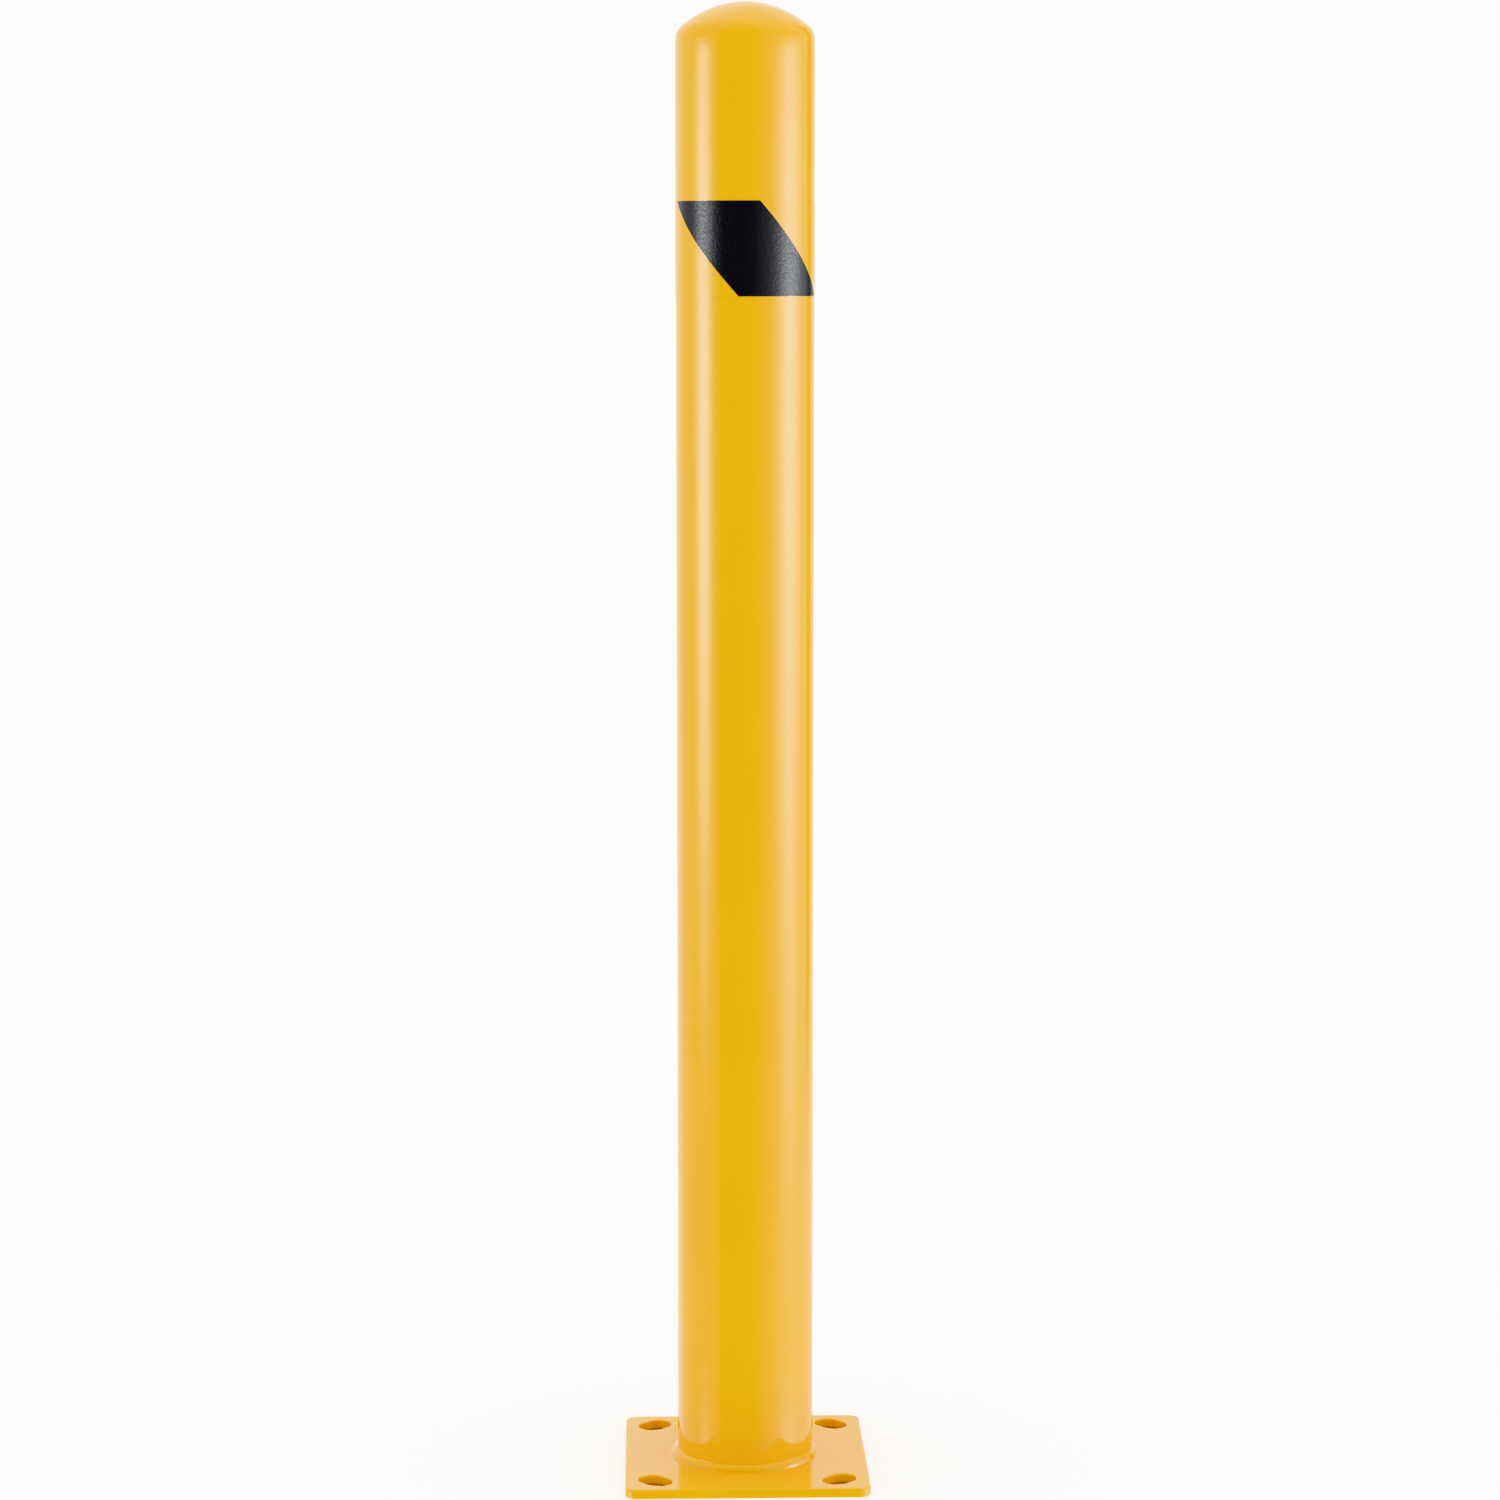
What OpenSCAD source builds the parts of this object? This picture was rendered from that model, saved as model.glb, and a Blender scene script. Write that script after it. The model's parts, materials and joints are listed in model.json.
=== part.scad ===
// Steel safety bollard: a pipe post with a domed cap, welded to a slotted base
// plate, with one band of black and yellow hazard tape near the top.
// Millimetres. +Z is up, the origin is the centre of the plate's underside, and
// -Y is the front, which the middle of one black stripe nearly faces.

/* [Post] */
// Outside diameter of the steel pipe
post_d = 114.3; // [88.9:0.1:139.7]
// Wall thickness of the pipe and of the cap
wall = 4.8; // [3:0.1:8]
// Overall height from the floor to the crown of the cap
overall_h = 1219.2; // [900:0.1:1500]

/* [Domed cap] */
// Rise of the dome above its straight side
dome_h = 30; // [22:0.5:40]
// Knuckle radius between the crown and the straight side
knuckle_r = 14.5; // [9:0.5:20]
// Straight skirt below the dome, down to the welded joint
skirt_h = 12; // [6:1:40]

/* [Base plate] */
// Side of the square plate
plate_w = 203.2; // [190:0.1:300]
// Thickness of the plate
plate_t = 8; // [5:0.5:16]
// Radius of the plate's corners
corner_r = 10; // [2:0.5:20]

/* [Anchor slots] */
// Spacing of the slot centres, both ways
anchor_pitch = 152.4; // [140:0.1:165]
// Width of each slot
slot_w = 22; // [14:0.5:26]
// Length of each slot from end to end
slot_l = 30; // [27:0.5:40]

/* [Welds] */
// Leg length of the fillet weld at the foot of the post
fillet_leg = 6; // [3:0.5:10]
// How far the fillet's face bulges past a flat one
fillet_bulge = 0.7; // [0.2:0.1:1]
// Depth of the groove that joins the cap to the pipe
groove_depth = 2.8; // [1:0.1:2.9]
// Width of that groove at the surface
groove_w = 5; // [3:0.5:8]

/* [Hazard tape] */
// Height of the tape band
tape_h = 76.2; // [50:0.1:150]
// Drop from the crown of the cap to the tape's top edge
tape_drop = 160.5; // [80:0.5:400]
// Thickness of the yellow tape
tape_t = 0.25; // [0.1:0.05:0.5]
// Thickness of the black film on it
film_t = 0.12; // [0.05:0.01:0.3]
// Angle that the stripes' edges make with the floor
stripe_lean = 48.5; // [30:0.5:60]
// Share of the circumference that one black stripe covers, in degrees
stripe_span = 85; // [60:1:110]
// How far the tape is turned to the right of the front, in degrees
tape_turn = 2; // [-20:1:20]

/* [Hidden] */

$fn = 144;
paint = [0.91, 0.68, 0.05];
paint_deep = [0.85, 0.6, 0.04];
tape_yellow = [0.93, 0.7, 0.08];
film_black = [0.05, 0.05, 0.05];

post_r = post_d / 2;
// Height at which the dome leaves the straight side
spring_z = overall_h - dome_h;
// Height at which the pipe meets the cap
joint_z = spring_z - skirt_h;
// Centre of the knuckle's arc, out from the axis
knuckle_x = post_r - knuckle_r;
// Rise of the crown above the top of a plain quarter-round knuckle
crown_rise = dome_h - knuckle_r;
// Depth of the crown arc's centre below the spring line, for an arc that is
// tangent to the knuckle and reaches the overall height on the axis
crown_drop = (pow(knuckle_x, 2) - pow(crown_rise, 2)) / (2 * crown_rise);
crown_r = dome_h + crown_drop;

tape_z = overall_h - tape_drop - tape_h;
// Turn of a stripe from the bottom of the band to its top
stripe_twist = tape_h / tan(stripe_lean) / post_r * 180 / PI;
stripe_slices = 32;
// Points round a stripe's wedge in each slice
stripe_sides = 12;

// The plate's outline: a square with round corners
module plate_outline() {
    inner = plate_w - 2 * corner_r;
    square([plate_w, inner], center = true);
    square([inner, plate_w], center = true);
    for (x = [-1, 1], y = [-1, 1])
        translate([x, y] * inner / 2)
            circle(corner_r);
}

// A slot along X, centred on the origin
module slot_outline() {
    run = slot_l - slot_w;
    square([run, slot_w], center = true);
    for (x = [-1, 1])
        translate([x * run / 2, 0])
            circle(slot_w / 2);
}

// The four slots, each square to the plate's diagonal through it
module anchor_slots() {
    for (quarter = [0 : 3])
        rotate(45 + 90 * quarter)
            translate([anchor_pitch / sqrt(2), 0])
                rotate(90)
                    slot_outline();
}

module base_plate() {
    color(paint_deep)
        linear_extrude(plate_t)
            difference() {
                plate_outline();
                anchor_slots();
            }
}

// Half-section of a ring between two heights, one surface to the other
module ring_section(inner_r, outer_r, low_z, high_z) {
    translate([inner_r, low_z])
        square([outer_r - inner_r, high_z - low_z]);
}

// Half-section of the V groove that the cap weld fills
module groove_section() {
    polygon([
        [post_r, joint_z - groove_w / 2],
        [post_r, joint_z + groove_w / 2],
        [post_r - groove_depth, joint_z]
    ]);
}

module post_tube() {
    color(paint)
        rotate_extrude()
            difference() {
                ring_section(post_r - wall, post_r, plate_t, joint_z);
                groove_section();
            }
}

// Half-section of the dome, filled to the axis and taken in by an inset:
// the crown's sector and the knuckle's disc, above the spring line
module dome_section(inset) {
    reach = 2 * crown_r;
    lean = atan2(knuckle_x, crown_drop);
    intersection() {
        square([post_r, dome_h]);
        union() {
            translate([knuckle_x, 0])
                circle(knuckle_r - inset);
            intersection() {
                translate([0, -crown_drop])
                    circle(crown_r - inset);
                polygon([
                    [0, -crown_drop],
                    [reach * sin(lean), reach * cos(lean) - crown_drop],
                    [0, reach]
                ]);
            }
        }
    }
}

module domed_cap() {
    color(paint)
        rotate_extrude()
            difference() {
                union() {
                    ring_section(post_r - wall, post_r, joint_z, spring_z);
                    translate([0, spring_z])
                        difference() {
                            dome_section(0);
                            dome_section(wall);
                        }
                }
                groove_section();
            }
}

module cap_weld() {
    color(paint_deep)
        rotate_extrude()
            groove_section();
}

// A fillet whose face is a shallow arc from toe to toe
module base_weld() {
    chord = fillet_leg * sqrt(2);
    face_r = pow(chord, 2) / (8 * fillet_bulge) + fillet_bulge / 2;
    back = (face_r - fillet_bulge) / sqrt(2) - fillet_leg / 2;
    color(paint_deep)
        rotate_extrude()
            translate([post_r, plate_t])
                intersection() {
                    square(fillet_leg);
                    translate([-back, -back])
                        circle(face_r);
                }
}

module tape_band() {
    color(tape_yellow)
        rotate_extrude()
            ring_section(post_r, post_r + tape_t, tape_z, tape_z + tape_h);
}

// One black stripe: the part of a thin sleeve inside a wedge that turns as it
// rises. At mid-height its middle faces the given direction, in degrees from +X.
module stripe(facing) {
    film_r = post_r + tape_t;
    reach = 2 * post_r;
    half_w = reach * tan(stripe_span / 2);
    color(film_black)
        intersection() {
            rotate_extrude()
                ring_section(film_r, film_r + film_t, tape_z, tape_z + tape_h);
            translate([0, 0, tape_z])
                rotate(facing + stripe_twist / 2)
                    linear_extrude(tape_h, twist = stripe_twist, slices = stripe_slices,
                                   segments = stripe_sides)
                        polygon([[0, 0], [reach, -half_w], [reach, half_w]]);
        }
}

module stripe_front() {
    stripe(tape_turn - 90);
}

module stripe_back() {
    stripe(tape_turn + 90);
}

base_plate();
post_tube();
domed_cap();
cap_weld();
base_weld();
tape_band();
stripe_front();
stripe_back();
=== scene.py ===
"""The detailed visual model of a steel safety bollard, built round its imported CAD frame.

Metres and radians, in the row frame: +Z is up, the origin is the centre of the plate's
underside, and -Y is the front. Only the light's directions are in degrees.
"""

import json
import math

import bmesh
import bpy
from mathutils import Matrix, Vector, noise


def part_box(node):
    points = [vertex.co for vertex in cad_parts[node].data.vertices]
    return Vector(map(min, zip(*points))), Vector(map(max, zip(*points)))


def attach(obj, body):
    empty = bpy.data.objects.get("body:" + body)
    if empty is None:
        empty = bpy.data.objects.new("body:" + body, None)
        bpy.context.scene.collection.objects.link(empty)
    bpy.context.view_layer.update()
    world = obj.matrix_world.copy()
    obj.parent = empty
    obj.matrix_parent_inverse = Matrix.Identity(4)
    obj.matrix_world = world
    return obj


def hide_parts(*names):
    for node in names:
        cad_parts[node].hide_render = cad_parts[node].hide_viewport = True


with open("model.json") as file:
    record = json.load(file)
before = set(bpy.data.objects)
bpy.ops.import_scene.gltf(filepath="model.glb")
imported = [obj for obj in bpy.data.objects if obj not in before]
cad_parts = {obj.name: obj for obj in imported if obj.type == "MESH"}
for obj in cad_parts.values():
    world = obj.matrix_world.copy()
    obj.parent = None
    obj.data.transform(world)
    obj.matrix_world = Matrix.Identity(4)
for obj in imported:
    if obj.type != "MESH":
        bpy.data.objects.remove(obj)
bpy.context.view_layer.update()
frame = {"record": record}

MM = 0.001

# --- sizes that come from the frame ------------------------------------------------------


def mount_dims(name):
    """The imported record's dimensions of one mount."""
    for mount in frame["record"]["mounts"]:
        if mount["name"] == name:
            return mount["dims"]
    raise KeyError(name)


PLATE_LOW, PLATE_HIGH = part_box("base_plate")
PIPE_LOW, PIPE_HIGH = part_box("post_tube")
BEAD_LOW, BEAD_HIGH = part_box("base_weld")
GROOVE_LOW, GROOVE_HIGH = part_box("cap_weld")
TAPE_LOW, TAPE_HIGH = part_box("tape_band")

POST_R = PIPE_HIGH.x
JOINT_Z = (GROOVE_LOW.z + GROOVE_HIGH.z) / 2
TOP_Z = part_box("domed_cap")[1].z
TAPE_R = TAPE_HIGH.x
TAPE_T = TAPE_R - POST_R
TAPE_MID_Z = (TAPE_LOW.z + TAPE_HIGH.z) / 2
BEAD_LEG = BEAD_HIGH.x - POST_R

# --- sizes that the frame doesn't give: the same as in the CAD source --------------------

WALL = 4.8 * MM
DOME_RISE = 30 * MM
KNUCKLE_R = 14.5 * MM
GROOVE_DEPTH = 2.8 * MM
CORNER_R = 10 * MM
FILM_T = 0.12 * MM
STRIPE_HALF = math.radians(42.5)
STRIPE_LEAN = math.radians(48.5)
TAPE_TURN = math.radians(2)

SPRING_Z = TOP_Z - DOME_RISE

# --- detail that only the visual model has -----------------------------------------------

# Columns in one turn of the post
AROUND = 256
# How far the cap has drawn in at its spring line; the dome draws in further
TAPER = 0.2 * MM
# Rows across the cap weld's face, and the height and noise scale of what grinding left
CAP_WELD_ROWS = 8
GRINDING = 0.012 * MM
GRINDING_SCALE = 5.0
# Rounding of the plate's edge and of its slots, and the faces round each rounding
LIP_R = 1.1 * MM
SLOT_LIP_R = 1.5 * MM
LIP_STEPS = 6
# Rise of the fillet weld's face above a flat one
BEAD_BULGE = 1.2 * MM
# How much narrower the fillet weld is on the plate where it is narrowest, and the
# angle where that is: the front, on the right
BEAD_SLIM = 2.8 * MM
SLIM_AT = math.radians(315)
# How far the paint runs out from the fillet weld over the plate and up the pipe
RUN_OUT = 0.8 * MM
# Rows of points across the fillet weld's face, and round each of its run-outs
BEAD_ROWS = 14
RUN_OUT_ROWS = 4
# The fillet weld's ripples: how many in one turn, how many columns, and how high
RIPPLES = 104
BEAD_AROUND = 10 * RIPPLES
RIPPLE = 0.03 * MM
# How strongly each ripple curves along the bead, and how far the ripples' spacing drifts
RIPPLE_BOW = 5.0
RIPPLE_DRIFT = 2.0
# Its slow swells and its quicker lumps: how high, and the scale of their noise
SWELL = 0.25 * MM
SWELL_SCALE = 3.1
LUMP = 0.2 * MM
LUMP_SCALE = 11.0
# The tape's lap: where its cut edge is, where it ends, and how wide its two slopes are
LAP_START = math.radians(112)
LAP_END = math.radians(124)
LAP_CUT = math.radians(0.12)
LAP_SLOPE = math.radians(1.6)
# Softening of the tape's edges
TAPE_EASE = 0.06 * MM
# Rows of faces up a black stripe, and the least angle between its end and a column
STRIPE_ROWS = 6
END_GAP = 1e-4

# --- the paints and the tape's prints ----------------------------------------------------

# Each coat's two tones, its range of roughness, and the height of its orange peel
POST_COAT = {
    "light": (0.80, 0.440, 0.003),
    "deep": (0.78, 0.425, 0.003),
    "gloss": (0.07, 0.11),
    "peel": 0.006 * MM,
}
# The plate's tones are a little darker than the post's: a shaded copy of the same paint,
# painted shade that holds the plate's top down under the stronger light from above
PLATE_COAT_SHADED = {
    "light": (0.77, 0.420, 0.003),
    "deep": (0.75, 0.405, 0.003),
    "gloss": (0.06, 0.10),
    "peel": 0.008 * MM,
}
# The height of the finer grain in both paints
GRAIN = 0.002 * MM
# The height of the speckle in the yellow print and in the black one
YELLOW_RELIEF = 0.006 * MM
BLACK_RELIEF = 0.2 * MM
# Refraction of the paint and of the yellow print, and of the film over the black one
PAINT_IOR = 1.5
FILM_IOR = 1.4
# Between these two values lies most of a noise field
NOISE_RANGE = (0.3, 0.7)

# --- the camera, solved from the photograph ----------------------------------------------

CAMERA_PLACE = Vector((-0.0810, -3.1385, 1.0106))
CAMERA_LENS = 91.60
# How far it is tipped down, and turned to the right of the post's axis
CAMERA_TIP = math.radians(7.30)
CAMERA_PAN = math.radians(0.074)
# How far it stands to the left of the front
CAMERA_AZIMUTH = math.atan2(-CAMERA_PLACE.x, -CAMERA_PLACE.y)

# --- the light ---------------------------------------------------------------------------

# Angles here are in degrees. Azimuth is 0 towards the camera and positive to its right,
# and height is 0 at the horizon. A step has a start and an end, and a band has two steps.

# Luminance of the backdrop, which the tone curve shows as white
WHITE = 3.4
# The diffuse light from all round, what each side adds to it, and how many times stronger
# it all gets towards the top
AMBIENT = 1.24
RIGHT_EXTRA = {"rise": (30, 70), "fall": (100, 150), "strength": 0.86}
LEFT_EXTRA = {"rise": (-150, -100), "fall": (-70, -30), "strength": 0.48}
TOP_STEP = (30, 60)
TOP_GAIN = 1.25

# The lamps that the gloss shows, each with its azimuth, and its band of heights
LEFT_LAMP = {
    "centre": -72.0,
    "width": 12.6,
    "strength": 12.9,
    "rise": (-13.5, -1.5),
    "fall": (0, 7.5),
}
RIGHT_LAMP = {
    "centre": 78.0,
    "width": 19.3,
    "strength": 12.2,
    "rise": (-18, 0),
    "fall": (0, 7.5),
}
BACK_LAMP = {
    "centre": 180.0,
    "width": 10.0,
    "strength": 8.0,
    "rise": (-18, -6),
    "fall": (-2, 3),
}
# Each lamp's image further down, as if a glossy floor showed it
LAMP_IMAGE = {"rise": (-60, -45), "fall": (-19.5, -17.2), "strength": 0.6}
# A pale sheet low on the right
SHEET = {"centre": 85, "width": 32, "strength": 1.1, "rise": (-40, -25), "fall": (-16, -10)}
# Pale walls on the right and on the left, and what the back adds to the left one
RIGHT_WALL = {"step": (8, 46), "ends": (0.0, 1.4)}
LEFT_WALL = {"step": (-50, -37), "ends": (1.25, 0.0)}
BACK_WALL = {"step": (-140, -115), "ends": (0.35, 0.0)}
# The dark gap in the right wall, round and up, and how dark it is
GAP_AROUND = {"rise": (121, 127), "fall": (134, 145)}
GAP_UPRIGHT = {"rise": (-14, -10), "fall": (25, 50)}
GAP_DEPTH = 0.95
# The ceiling's strength, the clear edge that brings a share of it, and the slow rise that
# brings the rest
CEILING = 1.35
CEILING_EDGE = (54, 58)
CEILING_RISE = (57, 90)
EDGE_SHARE = 0.42
# The ground: it fades out on the way up to the horizon
GROUND = {"step": (-34, -18), "ends": (0.8, 0.0)}
# The colour of all that the gloss shows, and the radius of the shell that carries it
LIGHT_COLOUR = (0.95, 0.98, 1.0, 1.0)
SHELL_R = 100.0

# Painted light that the floor gives off on top of the light it returns, near the plate and
# further off, and the distances from the post's axis at which the one turns into the other.
# It is weaker near the plate, which paints shade round the foot
FLOOR_PAINTED_GLOW = (1.2, 1.75)
FLOOR_PAINTED_GLOW_STEP = (0.145, 0.5)
FLOOR_TONE = (0.9, 0.9, 0.9, 1.0)
FLOOR_R = 40.0
# How far under the plate the floor and the ground in painted shade lie, and how far inside
# the plate's edge that ground ends
FLOOR_DROP = 0.4 * MM
SHADE_DROP = 0.1 * MM
SHADE_MARGIN = 3 * MM

# --- mesh helpers ------------------------------------------------------------------------


def turn_angles(count, extra=()):
    """Evenly spaced angles of one turn, with some extra ones in their places."""
    even = [2 * math.pi * i / count for i in range(count)]
    return sorted(set(even) | set(extra))


def add_loops(bm, loops, closed_across):
    """Joins loops of the same number of points into a band of quads."""
    rows = [[bm.verts.new(p) for p in loop] for loop in loops]
    count = len(rows[0])
    last = len(rows) if closed_across else len(rows) - 1
    for i in range(last):
        here = rows[i]
        above = rows[(i + 1) % len(rows)]
        for j in range(count):
            k = (j + 1) % count
            bm.faces.new((here[j], here[k], above[k], above[j]))
    return rows


def revolve(profile, angles, shift=None):
    """A closed section of (radius, height) points turned round Z. shift(angle, index)
    says how far a point moves in radius and height."""
    bm = bmesh.new()
    loops = []
    for index, (radius, height) in enumerate(profile):
        loop = []
        for angle in angles:
            dr, dz = shift(angle, index) if shift else (0.0, 0.0)
            r = radius + dr
            loop.append((r * math.cos(angle), r * math.sin(angle), height + dz))
        loops.append(loop)
    add_loops(bm, loops, closed_across=True)
    # The point on the axis is one vertex, not a ring of them
    bmesh.ops.remove_doubles(bm, verts=bm.verts, dist=1e-7)
    return bm


def add_object(name, bm, material):
    """Turns a bmesh into an object in the scene."""
    mesh = bpy.data.meshes.new(name)
    bm.to_mesh(mesh)
    bm.free()
    mesh.materials.append(material)
    made = bpy.data.objects.new(name, mesh)
    bpy.context.scene.collection.objects.link(made)
    return made


def make_piece(name, bm, material, node):
    """A finished piece that stands for a CAD node."""
    bmesh.ops.recalc_face_normals(bm, faces=bm.faces)
    piece = add_object(name, bm, material)
    piece.data.shade_smooth()
    piece.data.set_sharp_from_angle(angle=math.radians(30))
    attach(piece, "root")
    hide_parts(node)
    return piece


def weight_normals(piece):
    """Keeps big flat faces flat in the shading where they meet their rounded edges."""
    modifier = piece.modifiers.new("flat_faces", "WEIGHTED_NORMAL")
    modifier.mode = "FACE_AREA"
    modifier.weight = 100
    modifier.keep_sharp = True


# --- node helpers ------------------------------------------------------------------------


class Nodes:
    """Short calls for building a node tree."""

    def __init__(self, tree):
        self.tree = tree
        tree.nodes.clear()

    def add(self, kind, **settings):
        node = self.tree.nodes.new(kind)
        for key, value in settings.items():
            setattr(node, key, value)
        return node

    def plug(self, source, target):
        self.tree.links.new(source, target)

    def feed(self, socket, value):
        """Sets a socket to a constant, or links it to another socket."""
        if isinstance(value, bpy.types.NodeSocket):
            self.plug(value, socket)
        else:
            socket.default_value = value

    def show(self, socket, kind="ShaderNodeOutputMaterial"):
        """Makes a shader the tree's surface."""
        self.plug(socket, self.add(kind).inputs["Surface"])

    def math(self, operation, a, b=None):
        node = self.add("ShaderNodeMath", operation=operation)
        self.feed(node.inputs[0], a)
        if b is not None:
            self.feed(node.inputs[1], b)
        return node.outputs[0]

    def total(self, first, *others):
        for other in others:
            first = self.math("ADD", first, other)
        return first

    def times(self, first, *others):
        for other in others:
            first = self.math("MULTIPLY", first, other)
        return first

    def ramp(self, value, low, high, to_low=0.0, to_high=1.0):
        """A smooth step of a value from one range to another."""
        node = self.add("ShaderNodeMapRange", interpolation_type="SMOOTHSTEP")
        self.feed(node.inputs["Value"], value)
        node.inputs["From Min"].default_value = low
        node.inputs["From Max"].default_value = high
        node.inputs["To Min"].default_value = to_low
        node.inputs["To Max"].default_value = to_high
        return node.outputs[0]

    def noise(self, coordinates, scale, detail=2.0, roughness=0.5):
        """A noise field; the scale is in features for each metre."""
        node = self.add("ShaderNodeTexNoise")
        self.plug(coordinates, node.inputs["Vector"])
        node.inputs["Scale"].default_value = scale
        node.inputs["Detail"].default_value = detail
        node.inputs["Roughness"].default_value = roughness
        return node.outputs["Fac"]

    def tone(self, factor, first, second):
        """A colour that goes from the first to the second as the factor rises."""
        node = self.add("ShaderNodeMix", data_type="RGBA")
        self.feed(node.inputs["Factor"], factor)
        low, high = [socket for socket in node.inputs if socket.type == "RGBA"]
        low.default_value = (*first, 1.0)
        high.default_value = (*second, 1.0)
        return next(socket for socket in node.outputs if socket.type == "RGBA")


# --- materials ---------------------------------------------------------------------------


def node_material(name):
    """A material with an empty node tree."""
    material = bpy.data.materials.new(name)
    material.use_nodes = True
    return material, Nodes(material.node_tree)


def start_material(name):
    """A material with its Principled shader and object coordinates."""
    material, nodes = node_material(name)
    shader = nodes.add("ShaderNodeBsdfPrincipled")
    nodes.show(shader.outputs["BSDF"])
    place = nodes.add("ShaderNodeTexCoord").outputs["Object"]
    return material, nodes, shader, place


def bump(nodes, shader, height, distance, under=None):
    """Raises the surface by a height field, over another bump if there is one."""
    node = nodes.add("ShaderNodeBump")
    node.inputs["Distance"].default_value = distance
    nodes.plug(height, node.inputs["Height"])
    if under:
        nodes.plug(under, node.inputs["Normal"])
    nodes.plug(node.outputs["Normal"], shader.inputs["Normal"])
    return node.outputs["Normal"]


def powder_coat(name, light, deep, gloss, peel):
    """Glossy powder coat: a slow drift of tone, uneven gloss, a faint orange peel and a
    finer grain in it."""
    material, nodes, shader, place = start_material(name)
    drift = nodes.noise(place, scale=9, detail=3)
    tone = nodes.tone(nodes.ramp(drift, 0.35, 0.65), light, deep)
    nodes.plug(tone, shader.inputs["Base Color"])
    cloud = nodes.noise(place, scale=60, detail=4)
    nodes.plug(nodes.ramp(cloud, *NOISE_RANGE, *gloss), shader.inputs["Roughness"])
    skin = nodes.noise(place, scale=260, detail=1.5)
    grain = nodes.noise(place, scale=1500, detail=2)
    peeled = bump(nodes, shader, skin, peel)
    bump(nodes, shader, grain, GRAIN, under=peeled)
    shader.inputs["IOR"].default_value = PAINT_IOR
    return material


def tape_yellow():
    """The tape's yellow print under its clear film."""
    material, nodes, shader, place = start_material("tape_yellow")
    drift = nodes.noise(place, scale=30, detail=3)
    tone = nodes.tone(drift, (0.80, 0.44, 0.005), (0.78, 0.43, 0.006))
    nodes.plug(tone, shader.inputs["Base Color"])
    speck = nodes.noise(place, scale=900, detail=2)
    nodes.plug(nodes.ramp(speck, *NOISE_RANGE, 0.10, 0.16), shader.inputs["Roughness"])
    bump(nodes, shader, speck, YELLOW_RELIEF)
    shader.inputs["IOR"].default_value = PAINT_IOR
    return material


def tape_black():
    """The tape's black print: a little rougher, with a speckle in its gloss."""
    material, nodes, shader, place = start_material("tape_black")
    speck = nodes.noise(place, scale=420, detail=3, roughness=0.6)
    tone = nodes.tone(speck, (0.016, 0.016, 0.018), (0.021, 0.021, 0.023))
    nodes.plug(tone, shader.inputs["Base Color"])
    nodes.plug(nodes.ramp(speck, *NOISE_RANGE, 0.12, 0.24), shader.inputs["Roughness"])
    bump(nodes, shader, speck, BLACK_RELIEF)
    shader.inputs["IOR"].default_value = FILM_IOR
    return material


# --- the post: pipe, cap and the dressed weld between them -------------------------------


def tapered(radius, height):
    """The cap draws in slightly, and faster the higher it is above its joint."""
    rise = max(0.0, height - JOINT_Z)
    skirt = SPRING_Z - JOINT_Z
    return radius * (1 - TAPER * (rise / skirt) ** 2 / POST_R)


def pipe_profile():
    """Outside wall, the cap's groove, and the bore."""
    low, bore = PIPE_LOW.z, POST_R - WALL
    return [
        (POST_R, low),
        (POST_R, GROOVE_LOW.z),
        (POST_R - GROOVE_DEPTH, JOINT_Z),
        (bore, JOINT_Z),
        (bore, low),
    ]


def dome_curve(inset, steps):
    """The dome from its spring line to the axis: a knuckle arc and then the crown's."""
    knuckle_x = POST_R - KNUCKLE_R
    crown_rise = DOME_RISE - KNUCKLE_R
    drop = (knuckle_x**2 - crown_rise**2) / (2 * crown_rise)
    lean = math.atan2(knuckle_x, drop)
    points = []
    for i in range(steps):
        angle = (math.pi / 2 - lean) * i / steps
        r = KNUCKLE_R - inset
        points.append((knuckle_x + r * math.cos(angle), SPRING_Z + r * math.sin(angle)))
    for i in range(2 * steps + 1):
        angle = lean * (1 - i / (2 * steps))
        r = DOME_RISE + drop - inset
        points.append((r * math.sin(angle), SPRING_Z - drop + r * math.cos(angle)))
    return points


def cap_profile():
    """Outside skirt and dome, then the inside, back to the groove."""
    skirt_steps = 8
    outside = [(POST_R - GROOVE_DEPTH, JOINT_Z)]
    for i in range(skirt_steps):
        z = GROOVE_HIGH.z + (SPRING_Z - GROOVE_HIGH.z) * i / skirt_steps
        outside.append((POST_R, z))
    outside += dome_curve(0, steps=14)
    inside = dome_curve(WALL, steps=8)[::-1] + [(POST_R - WALL, JOINT_Z)]
    return [(tapered(r, z), z) for r, z in outside + inside]


def cap_weld_profile():
    """The weld's face, flush with the pipe, and the bottom of its groove."""
    face = []
    for i in range(CAP_WELD_ROWS + 1):
        z = GROOVE_LOW.z + (GROOVE_HIGH.z - GROOVE_LOW.z) * i / CAP_WELD_ROWS
        face.append((tapered(POST_R, z), z))
    return face + [(POST_R - GROOVE_DEPTH, JOINT_Z)]


def dressed(angle, index):
    """What grinding left of the cap weld, fading to nothing at its two edges."""
    if index >= CAP_WELD_ROWS:
        return 0.0, 0.0
    across = index / CAP_WELD_ROWS
    fade = math.sin(math.pi * across) ** 2
    place = Vector((math.cos(angle), math.sin(angle), across)) * GRINDING_SCALE
    return GRINDING * fade * noise.noise(place), 0.0


# --- the foot: plate and fillet weld ------------------------------------------------------


def rounded_square(inset, steps=10):
    """The plate's outline, taken in by an inset."""
    radius = CORNER_R - inset
    core = PLATE_HIGH.x - CORNER_R
    points = []
    for quarter in range(4):
        turn = quarter * math.pi / 2
        corner = Matrix.Rotation(turn, 2) @ Vector((core, core))
        for i in range(steps + 1):
            angle = turn + math.pi / 2 * i / steps
            points.append(corner + radius * Vector((math.cos(angle), math.sin(angle))))
    return points


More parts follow.
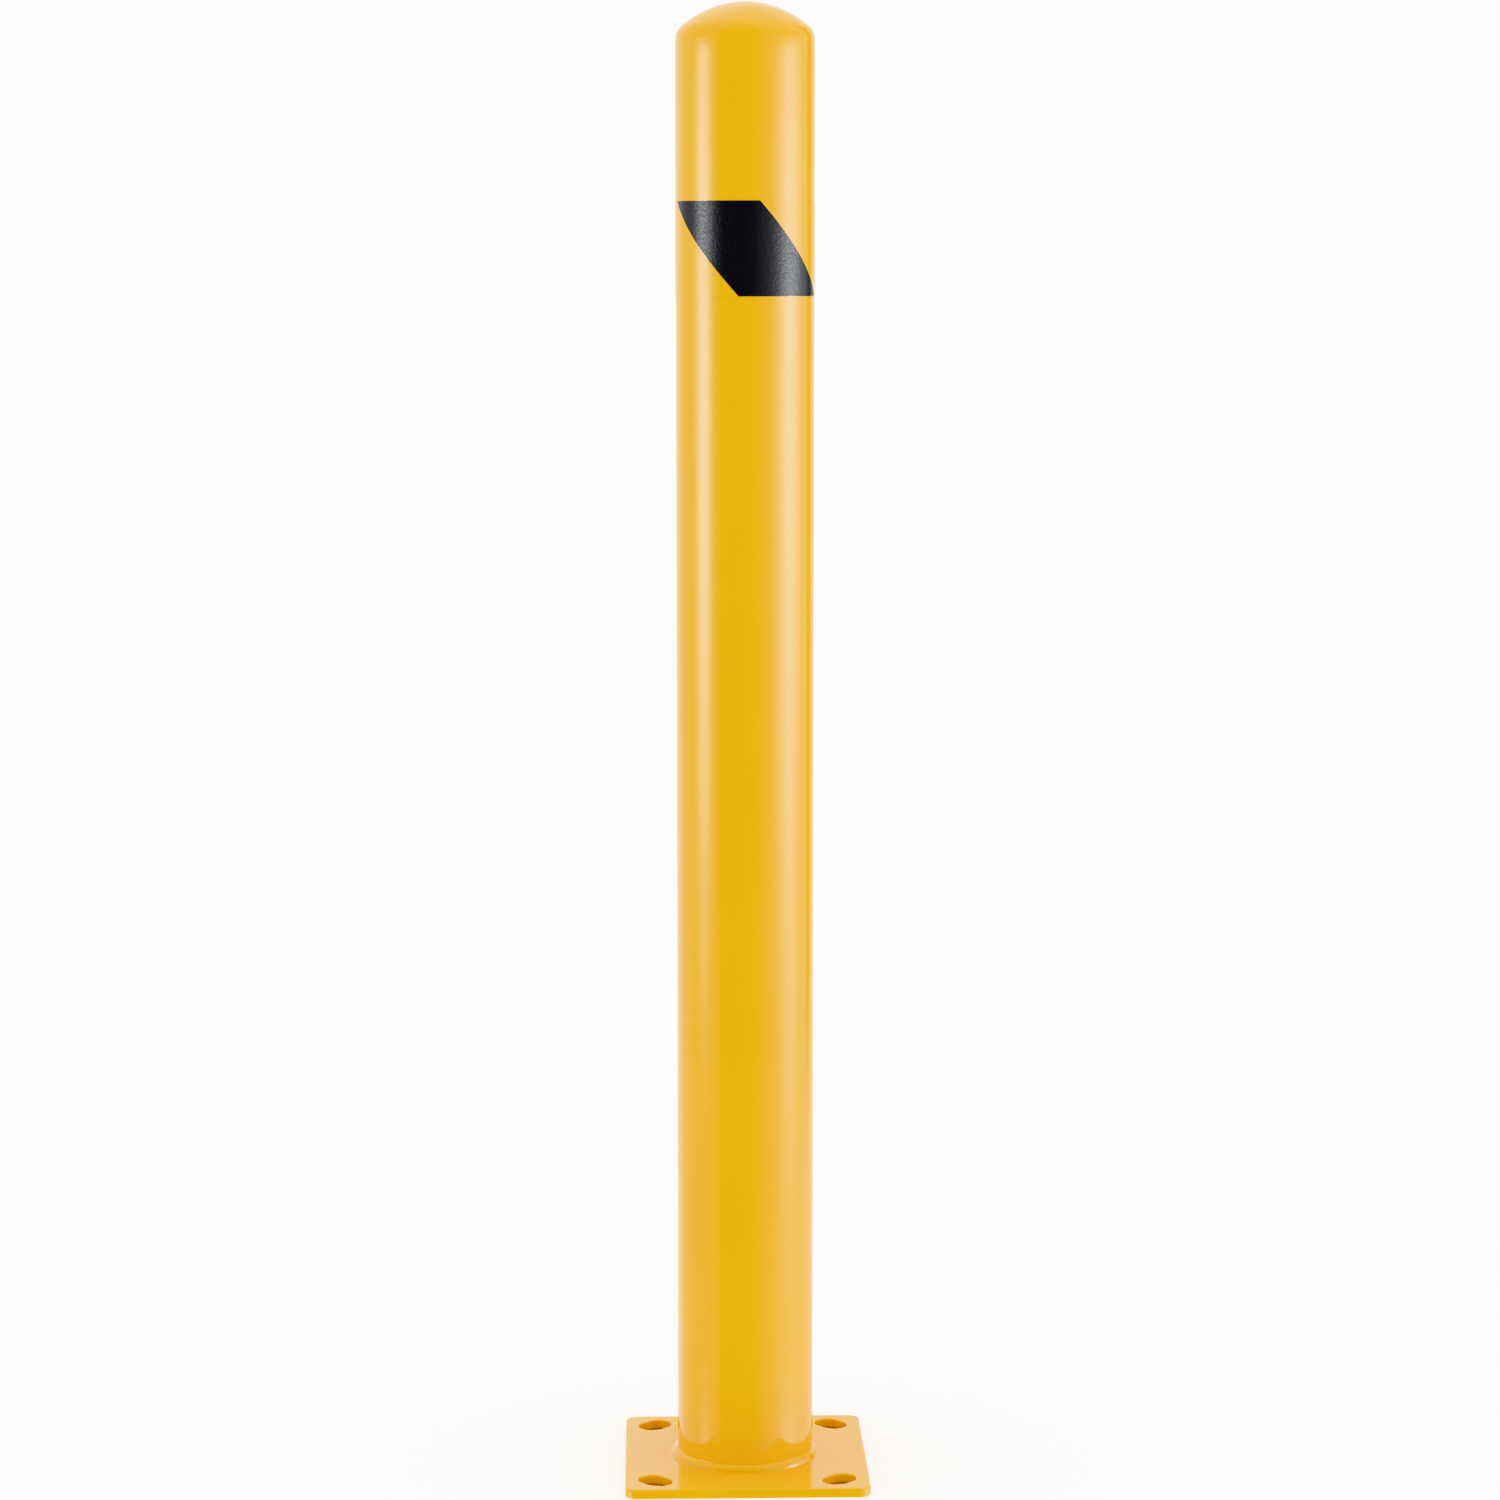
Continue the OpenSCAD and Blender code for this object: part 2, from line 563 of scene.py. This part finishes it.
def slot_outline(quarter, inset, steps=14):
    """One anchor slot's outline, made larger by an inset, square to its diagonal."""
    dims = mount_dims("anchor_slots")
    radius = dims["hole_r_mm"] * MM
    run = dims["slot_length_mm"] * MM - 2 * radius
    pitch = dims["spacing_x_mm"] * MM
    out = math.pi / 4 + quarter * math.pi / 2
    centre = pitch / math.sqrt(2) * Vector((math.cos(out), math.sin(out)))
    along = Vector((-math.sin(out), math.cos(out)))
    points = []
    for end in (1, -1):
        start = math.atan2(along.y, along.x) + (0 if end == 1 else math.pi)
        for i in range(steps + 1):
            angle = start - math.pi / 2 + math.pi * i / steps
            spoke = Vector((math.cos(angle), math.sin(angle)))
            points.append(centre + end * run / 2 * along + (radius + inset) * spoke)
    return points


def lip_levels(lip):
    """(inset, height) from the underside's edge to the top's, round both lips."""
    low, high = PLATE_LOW.z, PLATE_HIGH.z
    angles = [math.pi / 2 * i / LIP_STEPS for i in range(LIP_STEPS + 1)]
    lower = [(lip * (1 - math.sin(a)), low + lip * (1 - math.cos(a))) for a in angles]
    upper = [(lip * (1 - math.cos(a)), high - lip * (1 - math.sin(a))) for a in angles]
    return lower + upper


def plate_mesh():
    """The plate's edge, its four slots and its two faces."""
    bm = bmesh.new()
    outlines = [(rounded_square, LIP_R)]
    for quarter in range(4):
        outlines.append((lambda inset, q=quarter: slot_outline(q, inset), SLOT_LIP_R))
    rims = {0: [], -1: []}
    for outline, lip in outlines:
        loops = [[(*p, z) for p in outline(inset)] for inset, z in lip_levels(lip)]
        rows = add_loops(bm, loops, closed_across=False)
        for end, rim in rims.items():
            row = rows[end]
            for pair in zip(row, row[1:] + row[:1]):
                rim.append(bm.edges.get(pair))
    for rim in rims.values():
        bmesh.ops.triangle_fill(bm, use_beauty=True, use_dissolve=False, edges=rim)
    return bm


def soft_corner(start, corner, end):
    """Points of a soft bend round a corner, from one point to another."""
    points = []
    for i in range(RUN_OUT_ROWS + 1):
        t = i / RUN_OUT_ROWS
        points.append(start * (1 - t) ** 2 + corner * 2 * t * (1 - t) + end * t**2)
    return points


def bead_profile():
    """The fillet weld's painted face from the plate to the pipe, and then its root."""
    toe = Vector((POST_R + BEAD_LEG, BEAD_LOW.z))
    top = Vector((POST_R, BEAD_LOW.z + BEAD_LEG))
    outward = Vector((1, 1)).normalized()
    face = []
    for i in range(BEAD_ROWS + 1):
        t = i / BEAD_ROWS
        face.append(toe.lerp(top, t) + BEAD_BULGE * math.sin(math.pi * t) * outward)
    foot = soft_corner(toe + Vector((RUN_OUT, 0)), toe, face[1])
    head = soft_corner(face[-2], top, top + Vector((0, RUN_OUT)))
    painted = foot + face[2:-2] + head
    return [tuple(point) for point in painted] + [(POST_R, BEAD_LOW.z)]


def rippled(profile):
    """A shift for the bead's ripples, its lumps and its uneven width on the plate."""
    last = len(profile) - 2

    def shift(angle, index):
        if index > last:
            return 0.0, 0.0
        across = index / last
        fade = math.sin(math.pi * across) ** 2
        around = Vector((-math.cos(angle), math.sin(angle), 0.0))
        uneven = noise.noise(around * SWELL_SCALE)
        lumps = noise.noise(around * LUMP_SCALE + Vector((0, 0, 2 * across)))
        bow = RIPPLE_BOW * (across - 0.5) ** 2
        phase = RIPPLES * angle + bow + RIPPLE_DRIFT * uneven
        push = fade * (RIPPLE * math.cos(phase) + SWELL * uneven + LUMP * lumps)
        slim = BEAD_SLIM / BEAD_LEG * (1 + math.cos(angle - SLIM_AT)) / 2
        return push - slim * (profile[index][0] - POST_R), push

    return shift


# --- the hazard tape ----------------------------------------------------------------------


def lap_height(angle):
    """How far the tape stands off at its lap: a cut edge, then a soft slope down."""
    if angle < LAP_START:
        return 0.0
    if angle < LAP_START + LAP_CUT:
        return TAPE_T * (angle - LAP_START) / LAP_CUT
    if angle < LAP_END:
        return TAPE_T
    fall = min(1.0, (angle - LAP_END) / LAP_SLOPE)
    return TAPE_T * (1 - fall * fall * (3 - 2 * fall))


def tape_angles():
    """The columns of one turn of the tape, with the ones at which its lap bends."""
    bends = [LAP_START, LAP_START + LAP_CUT, LAP_END]
    bends += [LAP_END + LAP_SLOPE * i / 4 for i in range(1, 5)]
    return turn_angles(AROUND, bends)


def tape_profile():
    """The tape's section: its outer face, with softened edges, and its inner one."""
    low, high = TAPE_LOW.z, TAPE_HIGH.z
    return [
        (POST_R, low),
        (TAPE_R - TAPE_EASE, low),
        (TAPE_R, low + TAPE_EASE),
        (TAPE_R, high - TAPE_EASE),
        (TAPE_R - TAPE_EASE, high),
        (POST_R, high),
    ]


def lapped(angle, index):
    """Lifts the tape's outer face at its lap. The inner face is the first and last row."""
    outer = 0 < index < len(tape_profile()) - 1
    return (lap_height(angle) if outer else 0.0), 0.0


def stripe_angles(facing):
    """The angles of a stripe's columns, with its corners among them."""
    half_turn = (TAPE_HIGH.z - TAPE_LOW.z) / 2 / (POST_R * math.tan(STRIPE_LEAN))
    corners = [
        facing + sign * (STRIPE_HALF + side * half_turn)
        for sign in (-1, 1)
        for side in (-1, 1)
    ]
    first, last = min(corners), max(corners)
    columns = set(corners)
    for turn in (-1, 0, 1):
        for angle in tape_angles():
            moved = angle + turn * 2 * math.pi
            if first + END_GAP < moved < last - END_GAP:
                columns.add(moved)
    return sorted(columns)


def stripe_span(angle, facing):
    """The heights between which a stripe covers a column."""
    offset = angle - facing
    climb = POST_R * math.tan(STRIPE_LEAN)
    low = TAPE_MID_Z - (offset + STRIPE_HALF) * climb
    high = TAPE_MID_Z - (offset - STRIPE_HALF) * climb
    return max(low, TAPE_LOW.z), min(high, TAPE_HIGH.z)


def stripe_columns(bm, facing, lift):
    """One skin of a stripe, at a distance from the tape: points up each column."""
    columns = []
    for angle in stripe_angles(facing):
        low, high = stripe_span(angle, facing)
        r = TAPE_R + lap_height(angle % (2 * math.pi)) + lift
        column = []
        for i in range(STRIPE_ROWS + 1):
            z = low + (high - low) * i / STRIPE_ROWS
            column.append(bm.verts.new((r * math.cos(angle), r * math.sin(angle), z)))
        columns.append(column)
    return columns


def stripe_mesh(facing):
    """A thin black skin on the tape, between two edges that wind round the post."""
    bm = bmesh.new()
    outer = stripe_columns(bm, facing, FILM_T)
    inner = stripe_columns(bm, facing, 0.0)
    for columns in (outer, inner):
        for here, there in zip(columns, columns[1:]):
            for i in range(STRIPE_ROWS):
                bm.faces.new((here[i], there[i], there[i + 1], here[i + 1]))
    for i in (0, STRIPE_ROWS):
        for j in range(len(outer) - 1):
            bm.faces.new((outer[j][i], outer[j + 1][i], inner[j + 1][i], inner[j][i]))
    # The end columns have no height, so each closes to one point
    bmesh.ops.remove_doubles(bm, verts=bm.verts, dist=1e-6)
    return bm


# --- the stage ----------------------------------------------------------------------------


def make_camera():
    """The photograph's viewpoint: near the top of the post, and tipped down a little."""
    camera_data = bpy.data.cameras.new("camera")
    camera_data.sensor_width = 36.0
    camera_data.lens = CAMERA_LENS
    camera = bpy.data.objects.new("camera", camera_data)
    bpy.context.scene.collection.objects.link(camera)
    camera.location = CAMERA_PLACE
    pan = CAMERA_AZIMUTH + CAMERA_PAN
    camera.rotation_euler = (math.pi / 2 - CAMERA_TIP, 0.0, -pan)
    bpy.context.scene.camera = camera


def degree_ramp(nodes, angle, step, ends=(0.0, 1.0)):
    """A smooth step of an angle between two values in degrees."""
    return nodes.ramp(angle, math.radians(step[0]), math.radians(step[1]), *ends)


def azimuth_bell(nodes, azimuth, centre, width):
    """A bell round one azimuth, in degrees."""
    offset = nodes.math("SUBTRACT", azimuth, math.radians(centre))
    away = nodes.math("DIVIDE", offset, math.radians(width))
    return nodes.math("EXPONENT", nodes.times(away, away, -1.0))


def band(nodes, angle, rise, fall, strength=1.0):
    """The strength between two soft ends, and 0 outside them."""
    up = degree_ramp(nodes, angle, rise)
    down = degree_ramp(nodes, angle, fall, (strength, 0.0))
    return nodes.times(up, down)


def direction_angles(nodes, direction):
    """Azimuth, 0 towards the camera and positive to its right, and height."""
    split = nodes.add("ShaderNodeSeparateXYZ")
    nodes.plug(direction, split.inputs[0])
    x, y, z = split.outputs
    front = nodes.math("MULTIPLY", y, -1.0)
    azimuth = nodes.math("ADD", nodes.math("ARCTAN2", x, front), CAMERA_AZIMUTH)
    return azimuth, nodes.math("ARCSINE", z)


def make_world():
    """Soft light from all round, a little more from the sides and from above. It
    lights the colours only: the shell makes the reflections. The camera itself sees
    plain white."""
    world = bpy.data.worlds.new("soft_light")
    bpy.context.scene.world = world
    world.use_nodes = True
    world.cycles_visibility.glossy = False
    nodes = Nodes(world.node_tree)
    direction = nodes.add("ShaderNodeTexCoord").outputs["Generated"]
    azimuth, height = direction_angles(nodes, direction)
    right = band(nodes, azimuth, **RIGHT_EXTRA)
    left = band(nodes, azimuth, **LEFT_EXTRA)
    around = nodes.total(right, left, AMBIENT)
    above = degree_ramp(nodes, height, TOP_STEP, (1.0, TOP_GAIN))

    soft = nodes.add("ShaderNodeBackground")
    nodes.plug(nodes.times(around, above), soft.inputs["Strength"])
    backdrop = nodes.add("ShaderNodeBackground")
    backdrop.inputs["Strength"].default_value = WHITE
    path = nodes.add("ShaderNodeLightPath")
    mix = nodes.add("ShaderNodeMixShader")
    nodes.plug(path.outputs["Is Camera Ray"], mix.inputs["Fac"])
    nodes.plug(soft.outputs[0], mix.inputs[1])
    nodes.plug(backdrop.outputs[0], mix.inputs[2])
    nodes.show(mix.outputs[0], "ShaderNodeOutputWorld")


def glow_patch(nodes, azimuth, height, centre, width, strength, rise, fall, image=None):
    """A bright patch of the shell: a bell across and soft ends, over its image if any."""
    across = nodes.times(azimuth_bell(nodes, azimuth, centre, width), strength)
    upright = band(nodes, height, rise, fall)
    if image:
        upright = nodes.total(image, upright)
    return nodes.times(across, upright)


def lamps(nodes, azimuth, height):
    """A strip light on the left, a broad one on the right and a thin one behind."""
    image = band(nodes, height, **LAMP_IMAGE)
    left = glow_patch(nodes, azimuth, height, image=image, **LEFT_LAMP)
    right = glow_patch(nodes, azimuth, height, image=image, **RIGHT_LAMP)
    aside = nodes.math("ABSOLUTE", azimuth)
    behind = glow_patch(nodes, aside, height, image=image, **BACK_LAMP)
    return nodes.total(left, right, behind)


def overhead(nodes, height):
    """How far a direction belongs to the ceiling, from 0 to 1."""
    edge = degree_ramp(nodes, height, CEILING_EDGE, (0.0, EDGE_SHARE))
    rise = degree_ramp(nodes, height, CEILING_RISE, (0.0, 1.0 - EDGE_SHARE))
    return nodes.total(edge, rise)


def walls(nodes, azimuth, height):
    """Pale walls to both sides and behind, with a dark gap at the back on the right."""
    right = degree_ramp(nodes, azimuth, **RIGHT_WALL)
    left = degree_ramp(nodes, azimuth, **LEFT_WALL)
    behind = degree_ramp(nodes, azimuth, **BACK_WALL)
    around = nodes.total(right, left, behind)
    gap_around = band(nodes, azimuth, **GAP_AROUND)
    gap_upright = band(nodes, height, **GAP_UPRIGHT)
    gap = nodes.times(gap_around, gap_upright, GAP_DEPTH)
    kept = nodes.math("SUBTRACT", 1.0, gap)
    below_ceiling = nodes.math("SUBTRACT", 1.0, overhead(nodes, height))
    return nodes.times(around, kept, below_ceiling)


def shell_material():
    """What the gloss reflects: lamps, a sheet, walls, a ceiling and the ground."""
    material, nodes = node_material("studio_light")
    material.cycles.emission_sampling = "NONE"
    direction = nodes.add("ShaderNodeVectorMath", operation="NORMALIZE")
    nodes.plug(nodes.add("ShaderNodeTexCoord").outputs["Object"], direction.inputs[0])
    azimuth, height = direction_angles(nodes, direction.outputs["Vector"])
    total = nodes.total(
        nodes.times(overhead(nodes, height), CEILING),
        degree_ramp(nodes, height, **GROUND),
        lamps(nodes, azimuth, height),
        walls(nodes, azimuth, height),
        glow_patch(nodes, azimuth, height, **SHEET),
    )
    glow = nodes.add("ShaderNodeEmission")
    glow.inputs["Color"].default_value = LIGHT_COLOUR
    nodes.plug(total, glow.inputs["Strength"])
    nodes.show(glow.outputs[0])
    return material


def stage_object(name, bm, material):
    """An object that belongs to the studio and not to the bollard."""
    stage = add_object(name, bm, material)
    stage.visible_diffuse = False
    stage.visible_transmission = False
    stage.visible_shadow = False
    return stage


def make_shell():
    """A very large shell round the studio that shows only in reflections."""
    bm = bmesh.new()
    bmesh.ops.create_icosphere(bm, subdivisions=3, radius=SHELL_R)
    shell = stage_object("studio_shell", bm, shell_material())
    shell.location.z = TOP_Z / 2
    shell.visible_camera = False


def floor_material():
    """A white floor that gives off painted light, weaker near the plate, where it paints
    shade round the foot and lets a soft contact shadow show, and strong enough further off
    to burn the floor out to white.
    """
    material, nodes = node_material("floor_white_painted_glow")
    material.cycles.emission_sampling = "NONE"
    place = nodes.add("ShaderNodeTexCoord").outputs["Object"]
    length = nodes.add("ShaderNodeVectorMath", operation="LENGTH")
    nodes.plug(place, length.inputs[0])
    glow = nodes.add("ShaderNodeEmission")
    # Painted light: weaker near the plate, which paints shade round the foot
    strength = nodes.ramp(length.outputs["Value"], *FLOOR_PAINTED_GLOW_STEP, *FLOOR_PAINTED_GLOW)
    nodes.plug(strength, glow.inputs["Strength"])
    white = nodes.add("ShaderNodeBsdfDiffuse")
    white.inputs["Color"].default_value = FLOOR_TONE
    both = nodes.add("ShaderNodeAddShader")
    nodes.plug(glow.outputs[0], both.inputs[0])
    nodes.plug(white.outputs[0], both.inputs[1])
    nodes.show(both.outputs[0])
    return material


def painted_shade_material():
    """The ground under the plate in painted shade: dark brown, with a painted bounce of the
    yellow paint.
    """
    material, nodes, shader, place = start_material("floor_painted_shade")
    mottle = nodes.noise(place, scale=40, detail=2)
    # Painted shade: a mottled dark brown, with a painted bounce of the yellow paint in it
    tone = nodes.tone(mottle, (0.56, 0.28, 0.05), (0.62, 0.32, 0.07))
    nodes.plug(tone, shader.inputs["Base Color"])
    shader.inputs["Roughness"].default_value = 0.9
    return material


def make_floor():
    """A wide round floor that only the camera sees, and the ground under the plate in
    painted shade, which shows through the slots and takes part in the light as any surface
    does."""
    bm = bmesh.new()
    bmesh.ops.create_circle(bm, cap_ends=True, segments=96, radius=FLOOR_R)
    floor = stage_object("floor", bm, floor_material())
    floor.location.z = PLATE_LOW.z - FLOOR_DROP
    floor.visible_glossy = False

    under = bmesh.new()
    half = PLATE_HIGH.x - SHADE_MARGIN
    bmesh.ops.create_grid(under, x_segments=1, y_segments=1, size=half)
    # Its dark brown is painted shade under the plate, with a painted bounce of the yellow
    # paint
    painted_shade = add_object("floor_painted_shade", under, painted_shade_material())
    painted_shade.location.z = PLATE_LOW.z - SHADE_DROP


def set_tone():
    """A neutral print-like tone curve, which turns strong highlights pale, not lemon."""
    settings = bpy.context.scene.view_settings
    settings.view_transform = "Khronos PBR Neutral"
    settings.look = "None"
    settings.exposure = 0.0
    settings.gamma = 1.0


# --- the object ---------------------------------------------------------------------------


def build_post():
    """Pipe, cap and cap weld, in one paint."""
    paint = powder_coat("post_paint", **POST_COAT)
    angles = turn_angles(AROUND)
    make_piece("post_pipe", revolve(pipe_profile(), angles), paint, "post_tube")
    make_piece("cap_dome", revolve(cap_profile(), angles), paint, "domed_cap")
    weld = revolve(cap_weld_profile(), angles, dressed)
    make_piece("cap_weld_ring", weld, paint, "cap_weld")


def build_foot():
    """Plate and fillet weld, with the coat a little heavier and its tones a little darker
    than the post's, which is painted shade.
    """
    paint = powder_coat("plate_paint", **PLATE_COAT_SHADED)
    plate = make_piece("foot_plate", plate_mesh(), paint, "base_plate")
    weight_normals(plate)
    profile = bead_profile()
    bead = revolve(profile, turn_angles(BEAD_AROUND), rippled(profile))
    make_piece("foot_weld_bead", bead, paint, "base_weld")


def build_tape():
    """The yellow sleeve and its two black stripes."""
    sleeve = revolve(tape_profile(), tape_angles(), lapped)
    make_piece("tape_sleeve", sleeve, tape_yellow(), "tape_band")
    black = tape_black()
    front = math.radians(270) + TAPE_TURN
    back = math.radians(90) + TAPE_TURN
    make_piece("tape_stripe_front", stripe_mesh(front), black, "stripe_front")
    make_piece("tape_stripe_back", stripe_mesh(back), black, "stripe_back")


make_camera()
make_world()
make_shell()
make_floor()
set_tone()
build_post()
build_foot()
build_tape()
